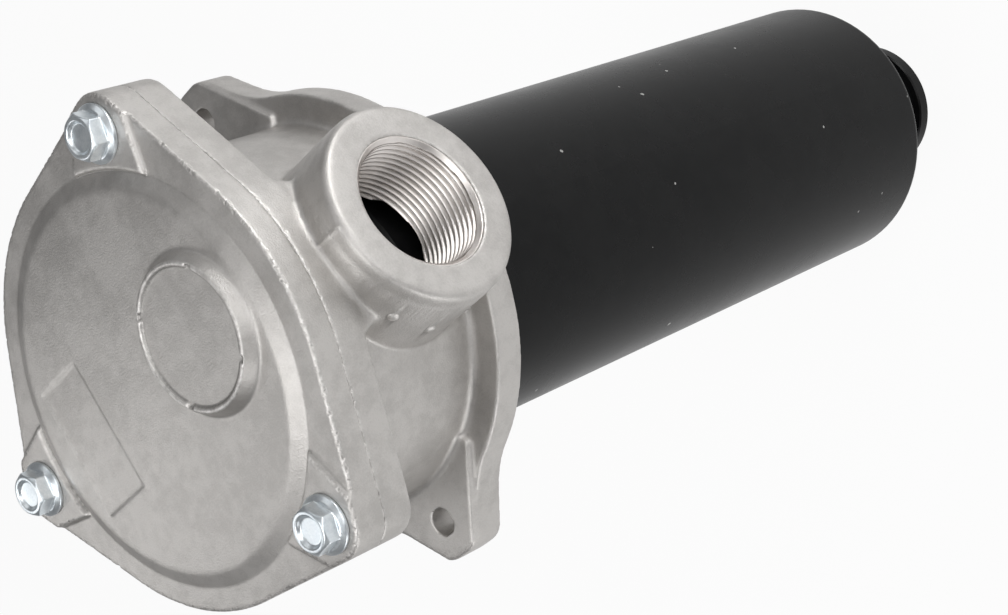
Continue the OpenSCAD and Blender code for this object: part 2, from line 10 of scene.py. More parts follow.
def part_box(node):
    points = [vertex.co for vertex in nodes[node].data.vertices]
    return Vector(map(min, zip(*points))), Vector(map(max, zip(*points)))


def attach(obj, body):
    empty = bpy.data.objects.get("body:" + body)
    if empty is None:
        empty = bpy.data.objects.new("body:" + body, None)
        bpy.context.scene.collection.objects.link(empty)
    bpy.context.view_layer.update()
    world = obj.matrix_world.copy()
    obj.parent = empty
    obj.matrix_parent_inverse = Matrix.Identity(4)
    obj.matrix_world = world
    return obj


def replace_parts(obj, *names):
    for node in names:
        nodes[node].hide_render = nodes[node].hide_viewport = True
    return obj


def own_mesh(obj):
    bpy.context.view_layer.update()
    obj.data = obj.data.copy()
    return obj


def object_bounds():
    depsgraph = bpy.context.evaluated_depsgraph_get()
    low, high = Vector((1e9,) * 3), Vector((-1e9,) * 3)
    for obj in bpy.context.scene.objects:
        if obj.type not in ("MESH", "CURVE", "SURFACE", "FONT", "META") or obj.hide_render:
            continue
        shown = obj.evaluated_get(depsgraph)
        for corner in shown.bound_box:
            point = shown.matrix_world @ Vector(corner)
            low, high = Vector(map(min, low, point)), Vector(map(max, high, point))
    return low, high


print("frame: loading the packed part")
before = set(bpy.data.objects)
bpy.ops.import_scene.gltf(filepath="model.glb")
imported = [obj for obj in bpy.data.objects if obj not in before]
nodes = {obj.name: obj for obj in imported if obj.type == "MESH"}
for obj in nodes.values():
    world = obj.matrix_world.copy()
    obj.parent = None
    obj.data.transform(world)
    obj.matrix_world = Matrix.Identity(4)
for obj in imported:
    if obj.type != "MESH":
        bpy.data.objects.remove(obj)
cadBox = [list(corner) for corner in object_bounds()]
scene = bpy.context.scene
scene.view_settings.view_transform = "Standard"
mm = 0.001
housing = "housing"


def addMesh(name, bm):
    mesh = bpy.data.meshes.new(name)
    bm.to_mesh(mesh)
    bm.free()
    piece = bpy.data.objects.new(name, mesh)
    scene.collection.objects.link(piece)
    return piece


def copyNode(name, nodeName):
    piece = bpy.data.objects.new(name, nodes[nodeName].data.copy())
    scene.collection.objects.link(piece)
    return piece


def settle(piece):
    # the modifiers' result becomes the mesh
    bpy.context.view_layer.update()
    seen = piece.evaluated_get(bpy.context.evaluated_depsgraph_get())
    mesh = bpy.data.meshes.new_from_object(seen)
    piece.modifiers.clear()
    piece.data = mesh
    return piece


def dress(piece, material):
    piece.data.materials.clear()
    piece.data.materials.append(material)
    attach(piece, housing)
    return piece


# Camera
cameraValues = {
    "lens": 73.64,
    "filmWidth": 36.0,
    "clipStart": 0.01,
    "place": (0.47983, -0.12526, 0.44272),
    "target": (-0.00406, -0.01837, -0.06561),
    "roll": -112.503,  # degrees about the line of sight: the part lies on its side in the picture
}


def makeCamera(values):
    data = bpy.data.cameras.new("photoCamera")
    data.lens = values["lens"]
    data.sensor_width = values["filmWidth"]
    data.sensor_fit = "HORIZONTAL"
    data.clip_start = values["clipStart"]
    camera = bpy.data.objects.new("photoCamera", data)
    scene.collection.objects.link(camera)
    place = Vector(values["place"])
    sight = (Vector(values["target"]) - place).to_track_quat("-Z", "Y").to_matrix()
    turn = sight @ Matrix.Rotation(math.radians(values["roll"]), 3, "Z")
    camera.matrix_world = Matrix.Translation(place) @ turn.to_4x4()
    scene.camera = camera
    return turn


print("camera and lamps")
cameraTurn = makeCamera(cameraValues)
lookedAt = Vector(cameraValues["target"])

# Each lamp's place and aim are given as the picture sees them from the camera's target:
# right, up, towards the viewer
lampValues = {
    "fill": {"place": (-0.885, -0.724, 1.126), "aim": (0, 0, 0), "size": 1.0, "power": 8.5},
    "low": {"place": (0.719, -1.358, 0.479), "aim": (0, 0, 0), "size": 1.0, "power": 6.3},
    "front": {"place": (0.080, 0.159, 1.590), "aim": (0, 0, 0), "size": 1.0, "power": 6.1},
    "frontRight": {"place": (0.800, 0.320, 1.360), "aim": (0, 0, 0), "size": 1.0, "power": 2.6},
    "upperLeft": {"place": (-1.026, 0.868, 0.868), "aim": (0, 0, 0), "size": 1.0, "power": 2.0},
    "back": {"place": (0.924, 0.924, -0.924), "aim": (0, 0, 0), "size": 1.0, "power": 1.3},
    "nearTop": {"place": (0.100, 0.500, 0.350), "aim": (0, 0, 0), "size": 0.3, "power": 1.3},
    "nearCover": {"place": (-0.370, -0.180, 0.070), "aim": (-0.10, -0.05, 0.10), "size": 0.15, "power": 0.10},
}


def makeLamps(values, turn):
    for name, lamp in values.items():
        data = bpy.data.lights.new(name, "AREA")
        data.shape = "DISK"
        data.size = lamp["size"]
        data.energy = lamp["power"]
        thing = bpy.data.objects.new(name, data)
        thing.visible_camera = False
        scene.collection.objects.link(thing)
        place = Vector(lamp["place"])
        facing = (turn @ (place - Vector(lamp["aim"]))).to_track_quat("Z", "Y").to_matrix().to_4x4()
        thing.matrix_world = Matrix.Translation(lookedAt + turn @ place) @ facing


makeLamps(lampValues, cameraTurn)


# Helpers for node trees
def startGroup(name, inputs, outputs):
    tree = bpy.data.node_groups.new(name, "ShaderNodeTree")
    for label, kind, value in inputs:
        socket = tree.interface.new_socket(label, in_out="INPUT", socket_type=kind)
        socket.default_value = value
    for label, kind in outputs:
        tree.interface.new_socket(label, in_out="OUTPUT", socket_type=kind)
    return tree, tree.nodes.new("NodeGroupInput"), tree.nodes.new("NodeGroupOutput")


def addNode(tree, kind, settings=None, values=None):
    node = tree.nodes.new(kind)
    for name, value in (settings or {}).items():
        setattr(node, name, value)
    for name, value in (values or {}).items():
        node.inputs[name].default_value = value
    return node


def addMaths(tree, operation, first, second=None, third=None):
    # a Math node, with numbers or links for its inputs
    node = tree.nodes.new("ShaderNodeMath")
    node.operation = operation
    for place, value in enumerate((first, second, third)):
        if value is None:
            continue
        if isinstance(value, (int, float)):
            node.inputs[place].default_value = value
        else:
            tree.links.new(value, node.inputs[place])
    return node.outputs[0]


def addRange(tree, value, low, high):
    # 0 at low, 1 at high, smooth between them
    settings = {"interpolation_type": "SMOOTHSTEP"}
    node = addNode(tree, "ShaderNodeMapRange", settings, {"From Min": low, "From Max": high})
    tree.links.new(value, node.inputs["Value"])
    return node.outputs["Result"]


def addNoise(tree, scale, detail, rough):
    where = tree.nodes.new("ShaderNodeTexCoord")
    node = addNode(tree, "ShaderNodeTexNoise", values={"Detail": detail, "Roughness": rough})
    tree.links.new(where.outputs["Object"], node.inputs["Vector"])
    tree.links.new(scale, node.inputs["Scale"])
    return node.outputs["Fac"]


def addMix(tree, factor, first, second):
    # colours first and second mixed by a mask; 6, 7 and output 2 are the node's colour sockets
    node = addNode(tree, "ShaderNodeMix", {"data_type": "RGBA"})
    for place, value in ((0, factor), (6, first), (7, second)):
        if isinstance(value, tuple):
            node.inputs[place].default_value = value
        else:
            tree.links.new(value, node.inputs[place])
    return node.outputs[2]


# The studio round the part: white where the picture looks at it, dimmer as a light
worldValues = {"colour": (0.98, 0.98, 0.99, 1.0), "light": 0.16, "mirrored": 0.20, "seen": 1.0}


def makeWorld(values):
    world = bpy.data.worlds.new("studio")
    world.use_nodes = True
    tree = world.node_tree
    shade = tree.nodes["Background"]
    shade.inputs["Color"].default_value = values["colour"]
    path = tree.nodes.new("ShaderNodeLightPath")
    seen = addMaths(tree, "MULTIPLY", path.outputs["Is Camera Ray"], values["seen"])
    mirrored = addMaths(tree, "MULTIPLY", path.outputs["Is Glossy Ray"], values["mirrored"])
    strength = addMaths(tree, "MAXIMUM", addMaths(tree, "MAXIMUM", seen, mirrored), values["light"])
    tree.links.new(strength, shade.inputs["Strength"])
    scene.world = world


makeWorld(worldValues)

# Node groups shared by the materials
castSkinValues = {
    "cloud": (4.0, 0.6),  # detail and roughness of each noise
    "grain": (2.0, 0.6),
    "blotch": (3.0, 0.5),
    "blotchScale": 5.0,  # times that of the clouds
    "cloudShare": 0.65,
    "blotchShare": 0.35,
    "contrast": (0.36, 0.62),
    "noiseMiddle": 0.5,
    "roughnessSpread": 0.18,
    "blotchHeight": 0.4,
}


def makeCastSkin(values):
    # cloudy grey of a die casting with its fine blasted grain
    inputs = (
        ("Light", "NodeSocketColor", (0.6, 0.6, 0.6, 1)),
        ("Dark", "NodeSocketColor", (0.4, 0.4, 0.4, 1)),
        ("Cloud Scale", "NodeSocketFloat", 45.0),
        ("Grain Scale", "NodeSocketFloat", 1800.0),
        ("Grain", "NodeSocketFloat", 0.5),
        ("Roughness", "NodeSocketFloat", 0.5),
    )
    outputs = (("Color", "NodeSocketColor"), ("Roughness", "NodeSocketFloat"), ("Height", "NodeSocketFloat"))
    tree, given, made = startGroup("castSkin", inputs, outputs)
    blotchScale = addMaths(tree, "MULTIPLY", given.outputs["Cloud Scale"], values["blotchScale"])
    cloud = addNoise(tree, given.outputs["Cloud Scale"], *values["cloud"])
    grain = addNoise(tree, given.outputs["Grain Scale"], *values["grain"])
    blotch = addNoise(tree, blotchScale, *values["blotch"])
    cloudPart = addMaths(tree, "MULTIPLY", cloud, values["cloudShare"])
    blotchPart = addMaths(tree, "MULTIPLY", blotch, values["blotchShare"])
    soft = addRange(tree, addMaths(tree, "ADD", cloudPart, blotchPart), *values["contrast"])
    offGrain = addMaths(tree, "SUBTRACT", grain, values["noiseMiddle"])
    speck = addMaths(tree, "MULTIPLY", offGrain, given.outputs["Grain"])
    mask = addMaths(tree, "ADD", soft, speck)
    colour = addMix(tree, mask, given.outputs["Dark"], given.outputs["Light"])
    tree.links.new(colour, made.inputs["Color"])
    offCloud = addMaths(tree, "SUBTRACT", cloud, values["noiseMiddle"])
    varied = addMaths(tree, "MULTIPLY_ADD", offCloud, values["roughnessSpread"], given.outputs["Roughness"])
    tree.links.new(varied, made.inputs["Roughness"])
    blotchHeight = addMaths(tree, "MULTIPLY", blotch, values["blotchHeight"])
    height = addMaths(tree, "MULTIPLY_ADD", grain, given.outputs["Grain"], blotchHeight)
    tree.links.new(height, made.inputs["Height"])
    return tree


edgeWearAndShineValues = {"noise": (3.0, 0.55), "broken": (0.35, 0.6), "tight": (0.25, 0.95)}


def makeEdgeWearAndShine(values):
    # Lighter on outside edges, partly rubbed wear and partly a painted highlight; darker in tight hollows;
    # Edge runs from -1 to 1
    inputs = (
        ("Edge", "NodeSocketFloat", 0.0),
        ("Amount", "NodeSocketFloat", 0.6),
        ("Break Scale", "NodeSocketFloat", 500.0),
    )
    outputs = (("Bright", "NodeSocketFloat"), ("Hollow Dark", "NodeSocketFloat"))
    tree, given, made = startGroup("edgeWearAndShine", inputs, outputs)
    patches = addNoise(tree, given.outputs["Break Scale"], *values["noise"])
    broken = addRange(tree, patches, *values["broken"])
    low, high = values["tight"]
    edge = addRange(tree, given.outputs["Edge"], low, high)
    rubbedAndLit = addMaths(tree, "MULTIPLY", edge, broken)
    highlightAndWear = addMaths(tree, "MULTIPLY", rubbedAndLit, given.outputs["Amount"])
    tree.links.new(highlightAndWear, made.inputs["Bright"])
    hollow = addRange(tree, given.outputs["Edge"], -low, -high)
    hollowDark = addMaths(tree, "MULTIPLY", hollow, given.outputs["Amount"])
    tree.links.new(hollowDark, made.inputs["Hollow Dark"])
    return tree


dustValues = {"largest": 0.22}  # radius of the largest speck, as a share of its cell


def makeDust(values):
    # sparse pale specks of dust
    inputs = (("Scale", "NodeSocketFloat", 300.0), ("Share", "NodeSocketFloat", 0.06))
    tree, given, made = startGroup("dustSpecks", inputs, (("Mask", "NodeSocketFloat"),))
    where = tree.nodes.new("ShaderNodeTexCoord")
    cells = tree.nodes.new("ShaderNodeTexVoronoi")
    tree.links.new(where.outputs["Object"], cells.inputs["Vector"])
    tree.links.new(given.outputs["Scale"], cells.inputs["Scale"])
    tint = tree.nodes.new("ShaderNodeSeparateColor")
    tree.links.new(cells.outputs["Color"], tint.inputs[0])
    few = addMaths(tree, "LESS_THAN", tint.outputs[0], given.outputs["Share"])
    size = addMaths(tree, "MULTIPLY", tint.outputs[1], values["largest"])
    spot = addMaths(tree, "LESS_THAN", cells.outputs["Distance"], size)
    tree.links.new(addMaths(tree, "MULTIPLY", few, spot), made.inputs["Mask"])
    return tree


print("shared node groups")
castSkin = makeCastSkin(castSkinValues)
edgeWearAndShine = makeEdgeWearAndShine(edgeWearAndShineValues)
dustSpecks = makeDust(dustValues)


# Materials
def placeGroup(tree, group, values):
    node = tree.nodes.new("ShaderNodeGroup")
    node.node_tree = group
    for name, value in values.items():
        node.inputs[name].default_value = value
    return node


def startMaterial(name, shaderValues):
    material = bpy.data.materials.new(name)
    material.use_nodes = True
    tree = material.node_tree
    shader = tree.nodes["Principled BSDF"]
    for label, value in shaderValues.items():
        shader.inputs[label].default_value = value
    return material, tree, shader


def placeSkin(tree, values):
    return placeGroup(tree, castSkin, {
        "Light": values["light"],
        "Dark": values["dark"],
        "Cloud Scale": values["cloudScale"],
        "Grain Scale": values["grainScale"],
        "Grain": values["grain"],
        "Roughness": values["roughness"],
    })


def joinSkin(tree, shader, skin, colour, values):
    tree.links.new(colour, shader.inputs["Base Color"])
    tree.links.new(skin.outputs["Roughness"], shader.inputs["Roughness"])
    bumpInputs = {"Strength": values["bump"], "Distance": values["bumpDepth"]}
    bump = addNode(tree, "ShaderNodeBump", values=bumpInputs)
    tree.links.new(skin.outputs["Height"], bump.inputs["Height"])
    tree.links.new(bump.outputs["Normal"], shader.inputs["Normal"])


castValues = {
    "light": (0.60, 0.582, 0.562, 1),
    "dark": (0.50, 0.484, 0.466, 1),
    # the edge colour below stands for rubbed wear and a painted highlight
    "highlightAndWear": (0.86, 0.84, 0.82, 1),
    # colour of the darker hollows
    "hollowDark": (0.30, 0.29, 0.28, 1),
    "wearAndShine": 0.60,
    "roughness": 0.50,
    "cloudScale": 45.0,
    "grainScale": 1800.0,
    "grain": 1.3,
    "bump": 0.42,
    "bumpDepth": 0.18 * mm,
}
machinedValues = {
    "light": (0.86, 0.82, 0.79, 1),
    "dark": (0.70, 0.66, 0.63, 1),
    "highlightAndWear": (0.95, 0.92, 0.90, 1),
    "hollowDark": (0.40, 0.38, 0.36, 1),
    "wearAndShine": 0.0,
    "roughness": 0.36,
    "cloudScale": 45.0,
    "grainScale": 1800.0,
    "grain": 0.3,
    "bump": 0.08,
    "bumpDepth": 0.10 * mm,
}


def makeCastMaterial(name, values):
    material, tree, shader = startMaterial(name, {"Metallic": 1.0})
    skin = placeSkin(tree, values)
    measured = addNode(tree, "ShaderNodeAttribute", {"attribute_name": "edge"})
    wearAndShine = placeGroup(tree, edgeWearAndShine, {"Amount": values["wearAndShine"]})
    tree.links.new(measured.outputs["Fac"], wearAndShine.inputs["Edge"])
    # outside edges lightened: rubbed wear and a painted highlight in one
    wornAndShiny = addMix(tree, wearAndShine.outputs["Bright"], skin.outputs["Color"], values["highlightAndWear"])
    # tight hollows darkened
    colour = addMix(tree, wearAndShine.outputs["Hollow Dark"], wornAndShiny, values["hollowDark"])
    joinSkin(tree, shader, skin, colour, values)
    return material


zincValues = {
    "light": (0.86, 0.91, 0.94, 1),
    "dark": (0.72, 0.78, 0.82, 1),
    "roughness": 0.34,
    "metal": 1.0,
    "cloudScale": 260.0,
    "grainScale": 3000.0,
    "grain": 0.3,
    "bump": 0.15,
    "bumpDepth": 0.10 * mm,
}

# Finishes of the pieces inside
innerSkin = {"grainScale": 1500.0, "grain": 0.4, "bump": 0.2, "bumpDepth": 0.10 * mm}
innerValues = {
    "sealRubber": {
        "light": (0.022, 0.022, 0.022, 1),
        "dark": (0.012, 0.012, 0.012, 1),
        "roughness": 0.55,
        "metal": 0.0,
        "cloudScale": 120.0,
    },
    "springSteel": {
        "light": (0.50, 0.50, 0.51, 1),
        "dark": (0.33, 0.33, 0.34, 1),
        "roughness": 0.32,
        "metal": 1.0,
        "cloudScale": 160.0,
    },
    "capPlastic": {
        "light": (0.020, 0.020, 0.021, 1),
        "dark": (0.011, 0.011, 0.012, 1),
        "roughness": 0.45,
        "metal": 0.0,
        "cloudScale": 60.0,
    },
    "filterMedia": {
        "light": (0.80, 0.73, 0.52, 1),
        "dark": (0.66, 0.58, 0.38, 1),
        "roughness": 0.85,
        "metal": 0.0,
        "cloudScale": 220.0,
    },
    "coreSteel": {
        "light": (0.56, 0.57, 0.58, 1),
        "dark": (0.42, 0.43, 0.44, 1),
        "roughness": 0.35,
        "metal": 1.0,
        "cloudScale": 70.0,
    },
}


def makePlainMaterial(name, values):
    material, tree, shader = startMaterial(name, {"Metallic": values["metal"]})
    skin = placeSkin(tree, values)
    joinSkin(tree, shader, skin, skin.outputs["Color"], values)
    return material


paintValues = {
    "light": (0.0060, 0.0062, 0.0064, 1),
    "dark": (0.0035, 0.0037, 0.0040, 1),
    "roughness": 0.27,
    "gloss": 0.12,
    "cloudScale": 30.0,
    "grainScale": 1800.0,
    "grain": 0.35,
    "bump": 0.08,
    "bumpDepth": 0.10 * mm,
    "dust": (0.35, 0.35, 0.34, 1),
    "dustScale": 260.0,
    "dustShare": 0.05,
}


def makePaintMaterial(name, values):
    material, tree, shader = startMaterial(name, {"Metallic": 0.0, "Specular IOR Level": values["gloss"]})
    skin = placeSkin(tree, values)
    specks = placeGroup(tree, dustSpecks, {"Scale": values["dustScale"], "Share": values["dustShare"]})
    colour = addMix(tree, specks.outputs["Mask"], skin.outputs["Color"], values["dust"])
    joinSkin(tree, shader, skin, colour, values)
    return material


print("materials")
castHead = makeCastMaterial("castHead", castValues)
castCover = makeCastMaterial("castCover", castValues)
machinedThread = makeCastMaterial("machinedThread", machinedValues)
zincPlate = makePlainMaterial("zincPlate", zincValues)
canisterPaint = makePaintMaterial("canisterPaint", paintValues)
inner = {name: makePlainMaterial(name, {**innerSkin, **values}) for name, values in innerValues.items()}


def finishNode(nodeName, material):
    node = nodes[nodeName]
    if not node.material_slots:
        node.data.materials.append(material)
    for held in node.material_slots:
        held.material = material


nodeFinish = {
    "canister": canisterPaint,
    "outlet_neck": canisterPaint,
    "cover_seal": inner["sealRubber"],
    "tank_seal": inner["sealRubber"],
    "canister_seal": inner["sealRubber"],
    "element_seal": inner["sealRubber"],
    "bypass_washer": inner["sealRubber"],
    "canister_snap_ring": inner["springSteel"],
    "hold_down_spring": inner["springSteel"],
    "element_top_cap": inner["capPlastic"],
    "element_bottom_cap": inner["capPlastic"],
    "bypass_cage": inner["capPlastic"],
    "pleated_media": inner["filterMedia"],
    "support_tube": inner["coreSteel"],
    "bypass_poppet": inner["coreSteel"],
}
for nodeName, finish in nodeFinish.items():
    finishNode(nodeName, finish)


# Castings and bolts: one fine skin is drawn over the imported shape, its edges run soft as poured
# metal does, and it is thinned again where it is flat
def readPoints(mesh):
    points = np.empty(len(mesh.vertices) * 3, dtype=np.float32)
    mesh.vertices.foreach_get("co", points)
    return points.reshape(-1, 3).astype(np.float64)


def writePoints(mesh, points):
    mesh.vertices.foreach_set("co", points.astype(np.float32).ravel())
    mesh.update()


def readNormals(mesh):
    normals = np.empty(len(mesh.vertices) * 3, dtype=np.float32)
    mesh.vertex_normals.foreach_get("vector", normals)
    return normals.reshape(-1, 3).astype(np.float64)


def readEdges(mesh):
    ends = np.empty(len(mesh.edges) * 2, dtype=np.int32)
    mesh.edges.foreach_get("vertices", ends)
    return ends.reshape(-1, 2)


def relax(points, ends, passes, share):
    # each pass draws every point towards the middle of its neighbours, by its own share
    count = len(points)
    first, second = ends[:, 0], ends[:, 1]
    beside = np.bincount(ends.ravel(), minlength=count)
    relaxed = np.empty_like(points)
    for axis in range(3):
        line = points[:, axis].copy()
        for turn in range(passes):
            drawn = np.bincount(first, line[second], count) + np.bincount(second, line[first], count)
            line += share * (drawn / beside - line)
        relaxed[:, axis] = line
    return relaxed


relaxShare = 0.5  # how far the softest points go in one pass
# one pass draws a point by neighbourShare times its share, the curvature and the voxel squared
measureValues = {"passes": 4, "neighbourShare": 0.25, "fullRadius": 1.25 * mm}


def measureEdges(mesh, voxel):
    # 1 on a tight outside edge, -1 in a tight hollow, 0 where the skin is flat
    points = readPoints(mesh)
    relaxed = relax(points, readEdges(mesh), measureValues["passes"], relaxShare)
    inward = ((points - relaxed) * readNormals(mesh)).sum(axis=1)
    spread = measureValues["neighbourShare"] * relaxShare * measureValues["passes"] * voxel ** 2
    return np.clip(inward / spread * measureValues["fullRadius"], -1, 1)


def near(points, place):
    return np.sqrt(((points - np.array(place)) ** 2).sum(axis=1))


def fade(value, low, high):
    # 0 below low, 1 above high, smooth between them
    share = np.clip((value - low) / (high - low), 0, 1)
    return share * share * (3 - 2 * share)


def growSkin(name, nodeName, values, softness, change, melt=None):
    # softness(points) gives each point's share of the rounding, melt(points) that of the extra passes,
    # and change(points, normals, edges) the new points
    piece = copyNode(name, nodeName)
    box = np.array([v.co[:] for v in piece.data.vertices])
    low, high = box.min(axis=0), box.max(axis=0)
    skin = piece.modifiers.new("skin", "REMESH")
    skin.mode = "VOXEL"
    skin.voxel_size = values["voxel"]
    skin.adaptivity = 0.0
    mesh = settle(piece).data
    points, ends = readPoints(mesh), readEdges(mesh)
    rounded = relax(points, ends, values["passes"], relaxShare * softness(points))
    if melt:
        rounded = relax(rounded, ends, values["meltPasses"], relaxShare * melt(points))
    writePoints(mesh, rounded)
    edges = measureEdges(mesh, values["voxel"])
    writePoints(mesh, change(readPoints(mesh), readNormals(mesh), edges))
    # the materials read this to lighten their edges, rubbed wear with a painted highlight, and to darken
    # their hollows
    edge = mesh.attributes.new("edge", "FLOAT", "POINT")
    edge.data.foreach_set("value", measureEdges(mesh, values["voxel"]).astype(np.float32))
    count = len(mesh.polygons) * 2
    thin = piece.modifiers.new("thin", "DECIMATE")
    thin.ratio = min(1.0, values["triangles"] / count)
    thin.use_collapse_triangulate = True
    mesh = settle(piece).data
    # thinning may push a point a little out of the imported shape's box
    writePoints(mesh, np.clip(readPoints(mesh), low, high))
    mesh.polygons.foreach_set("use_smooth", [True] * len(mesh.polygons))
    return piece


tearValues = {"fineShare": 0.5, "finer": 2.3, "rise": 1.5}


def tearEdge(points, normals, edges, chosen, values):
    # a ragged edge: small pits and crumbs where the trimming tool tore the metal
    fineShare, finer, rise = tearValues["fineShare"], tearValues["finer"], tearValues["rise"]
    for index in np.nonzero(chosen & (edges > values["from"]))[0]:
        here = Vector(points[index])
        tear = noise.noise(here / values["size"]) + fineShare * noise.noise(here / values["size"] * finer)
        pit = values["pit"] * max(0.0, tear - values["level"])
        crumb = values["crumb"] * max(0.0, -tear - values["level"])
        points[index] -= normals[index] * (pit - crumb) * min(1.0, edges[index] * rise)


def raiseLine(points, normals, line):
    # a low seam left between the mould's halves, along a straight line
    start, end = np.array(line["from"]) * mm, np.array(line["to"]) * mm
    along = end - start
    share = np.clip(((points - start) @ along) / (along @ along), 0, 1)
    away = near(points, start + share[:, None] * along) / line["width"]
    points += normals * (line["height"] * np.clip(1 - away ** 2, 0, 1))[:, None]


# FromAxis is measured from the filter's axis and FromPort from the port's. Where such a value or one of
# x or z is a pair, a soft change starts at the first and ends at the second
headValues = {
    "voxel": 0.50 * mm,
    "passes": 13,
    "triangles": 188000,
    "joint": 72.5 * mm,
    "chamber": 56 * mm,
    "portHeight": 33 * mm,
    "portFace": 84.7 * mm,
    "portFrom": 50 * mm,  # x from which the head's wall belongs to the port
    "bore": 20.955 * mm,
    "boreOpened": 21.2 * mm,  # the bore steps back behind the threaded sleeve
    "boreBand": 0.4 * mm,
    "boreLip": 0.45 * mm,
    "earHole": (75 * mm, 7 * mm),  # how far the holes are from the axis, and the reach of the band round them
    "nubs": ((70.3, -25.2, 52.7), (66.3, -31.4, 38.9)),
    "nubRadius": 1.7 * mm,
    "nubHeight": 0.7 * mm,
    "seams": (
        {"from": (71.5, 0.5, 65.0), "to": (84.0, 0.8, 65.0), "width": 0.75 * mm, "height": 0.22 * mm},
        {"from": (75.6, 7.8, 64.0), "to": (76.2, 2.8, 64.9), "width": 0.60 * mm, "height": 0.14 * mm},
    ),
    "turnedX": (78.2 * mm, 78.2 * mm + 0.5 * mm),  # from here to the face the boss is turned down a little
    "turnedFromPort": (29.5 * mm, 31 * mm),
    "turnedDepth": 0.14 * mm,
    "meltPasses": 30,
    "faceMelt": 0.45,
    "faceFromPort": (25.5 * mm, 27.5 * mm),
    "faceX": (78 * mm, 80 * mm),
    "rootMelt": 0.40,
    "rootFromPort": (28 * mm, 30 * mm),
    "rootToPort": (36 * mm, 40 * mm),
    "rootFromAxis": (64 * mm, 66 * mm),
    "rootFromZ": (44 * mm, 50 * mm),
    "rootToZ": (66 * mm, 69 * mm),
    "rootX": (50 * mm, 55 * mm),
    "tear": {"from": 0.25, "size": 1.6 * mm, "pit": 0.45 * mm, "crumb": 0.06 * mm, "level": 0.16},
    "tearBelowJoint": 1.5 * mm,
    "tearFromAxis": 66 * mm,
    "tearX": 58 * mm,
}
# Shares of the rounding where fits and mouths stay crisp, and how wide those bands are
headKeptValues = {
    "chamber": 0.15,
    "chamberWall": 8 * mm,
    "bore": 0.2,
    "boreWall": 2 * mm,
    "joint": 0.2,
    "jointBand": 0.8 * mm,
    "earHole": 0.3,
    "outside": 1.0,
    "outsideWall": 3 * mm,
    "outsideZ": 10 * mm,
}


def headMelt(points):
    # the port's outer edge and the web at its root are softer than the rest
    shape = headValues
    x, y, z = points.T
    fromPort = np.hypot(y, z - shape["portHeight"])
    fromAxis = np.hypot(x, y)
    face = fade(fromPort, *shape["faceFromPort"]) * fade(x, *shape["faceX"])
    root = fade(fromPort, *shape["rootFromPort"]) * (1 - fade(fromPort, *shape["rootToPort"]))
    root *= fade(fromAxis, *shape["rootFromAxis"]) * (1 - fade(z, *shape["rootToZ"]))
    root *= fade(z, *shape["rootFromZ"]) * fade(x, *shape["rootX"])
    return np.maximum(shape["faceMelt"] * face, shape["rootMelt"] * root)


def headSoftness(points):
    shape, kept = headValues, headKeptValues
    x, y, z = points.T
    fromAxis = np.hypot(x, y)
    fromPort = np.hypot(y, z - shape["portHeight"])
    boreWall = shape["bore"] + kept["boreWall"]
    softness = np.ones(len(points))
    softness[fromAxis < shape["chamber"] + kept["chamberWall"]] = kept["chamber"]
    softness[(fromPort < boreWall) & (x > shape["portFrom"])] = kept["bore"]
    outside = (fromAxis > shape["chamber"] + kept["outsideWall"]) & (z > kept["outsideZ"])
    softness[outside & (fromPort > boreWall)] = kept["outside"]
    softness[z > shape["joint"] - kept["jointBand"]] = kept["joint"]
    hole, reach = shape["earHole"]
    softness[np.hypot(x, np.abs(y) - hole) < reach] = kept["earHole"]
    return softness


def headChange(points, normals, edges):
    shape = headValues
    for nub in shape["nubs"]:
        away = near(points, [c * mm for c in nub]) / shape["nubRadius"]
        points += normals * (shape["nubHeight"] * np.clip(1 - away ** 2, 0, 1) ** 0.5)[:, None]
    across, up = points[:, 1], points[:, 2] - shape["portHeight"]
    fromPort = np.hypot(across, up)
    turned = fade(points[:, 0], *shape["turnedX"])
    turned = turned * fade(fromPort, *shape["turnedFromPort"]) * shape["turnedDepth"]
    points[:, 1] = across * (1 - turned / fromPort)
    points[:, 2] = shape["portHeight"] + up * (1 - turned / fromPort)
    for seam in shape["seams"]:
        raiseLine(points, normals, seam)
    fromAxis = np.hypot(points[:, 0], points[:, 1])
    jointEdge = points[:, 2] > shape["joint"] - shape["tearBelowJoint"]
    jointEdge &= (fromAxis > shape["tearFromAxis"]) & (points[:, 0] > shape["tearX"])
    tearEdge(points, normals, edges, jointEdge, shape["tear"])
    across, up = points[:, 1], points[:, 2] - shape["portHeight"]
    fromPort = np.hypot(across, up)
    inBore = (fromPort < shape["bore"] + shape["boreBand"]) & (points[:, 0] > shape["portFrom"])
    inBore &= points[:, 0] < shape["portFace"] - shape["boreLip"]
    stretch = np.where(inBore, np.maximum(1.0, shape["boreOpened"] / fromPort), 1.0)
    points[:, 1] = across * stretch
    points[:, 2] = shape["portHeight"] + up * stretch
    return points


coverValues = {
    "voxel": 0.37 * mm,
    "passes": 15,
    "triangles": 188000,
    "joint": 72.5 * mm,
    "rimTop": 82 * mm,
    "plateau": 84.6 * mm,
    "foot": 63.9 * mm,  # radius where the slope of the raised middle starts
    "label": ((-49.5 * mm, -26.5 * mm), (-22 * mm, 22 * mm)),
    "boss": (33 * mm, 24 * mm),  # how far its middle is from the axis, and its reach
    "meltPasses": 12,
    "slopeFromAxis": (54 * mm, 57 * mm),
    "slopeToAxis": (60 * mm, 62 * mm),
    "slopeRise": (0.8 * mm, 1.6 * mm),
    "tear": {"from": 0.3, "size": 1.3 * mm, "pit": 0.42 * mm, "crumb": 0.06 * mm, "level": 0.12},
    "tearBand": 1.6 * mm,
    "tearFromAxis": 66 * mm,
}
coverKeptValues = {
    "label": 0.6,
    "labelBand": 1.2 * mm,
    "boss": 0.12,
    "bossRise": 2.5 * mm,
    "joint": 0.2,
    "jointBand": 0.7 * mm,
    "foot": 0.25,
    "footBand": 1.2 * mm,
    "footHeight": 1.0 * mm,
}


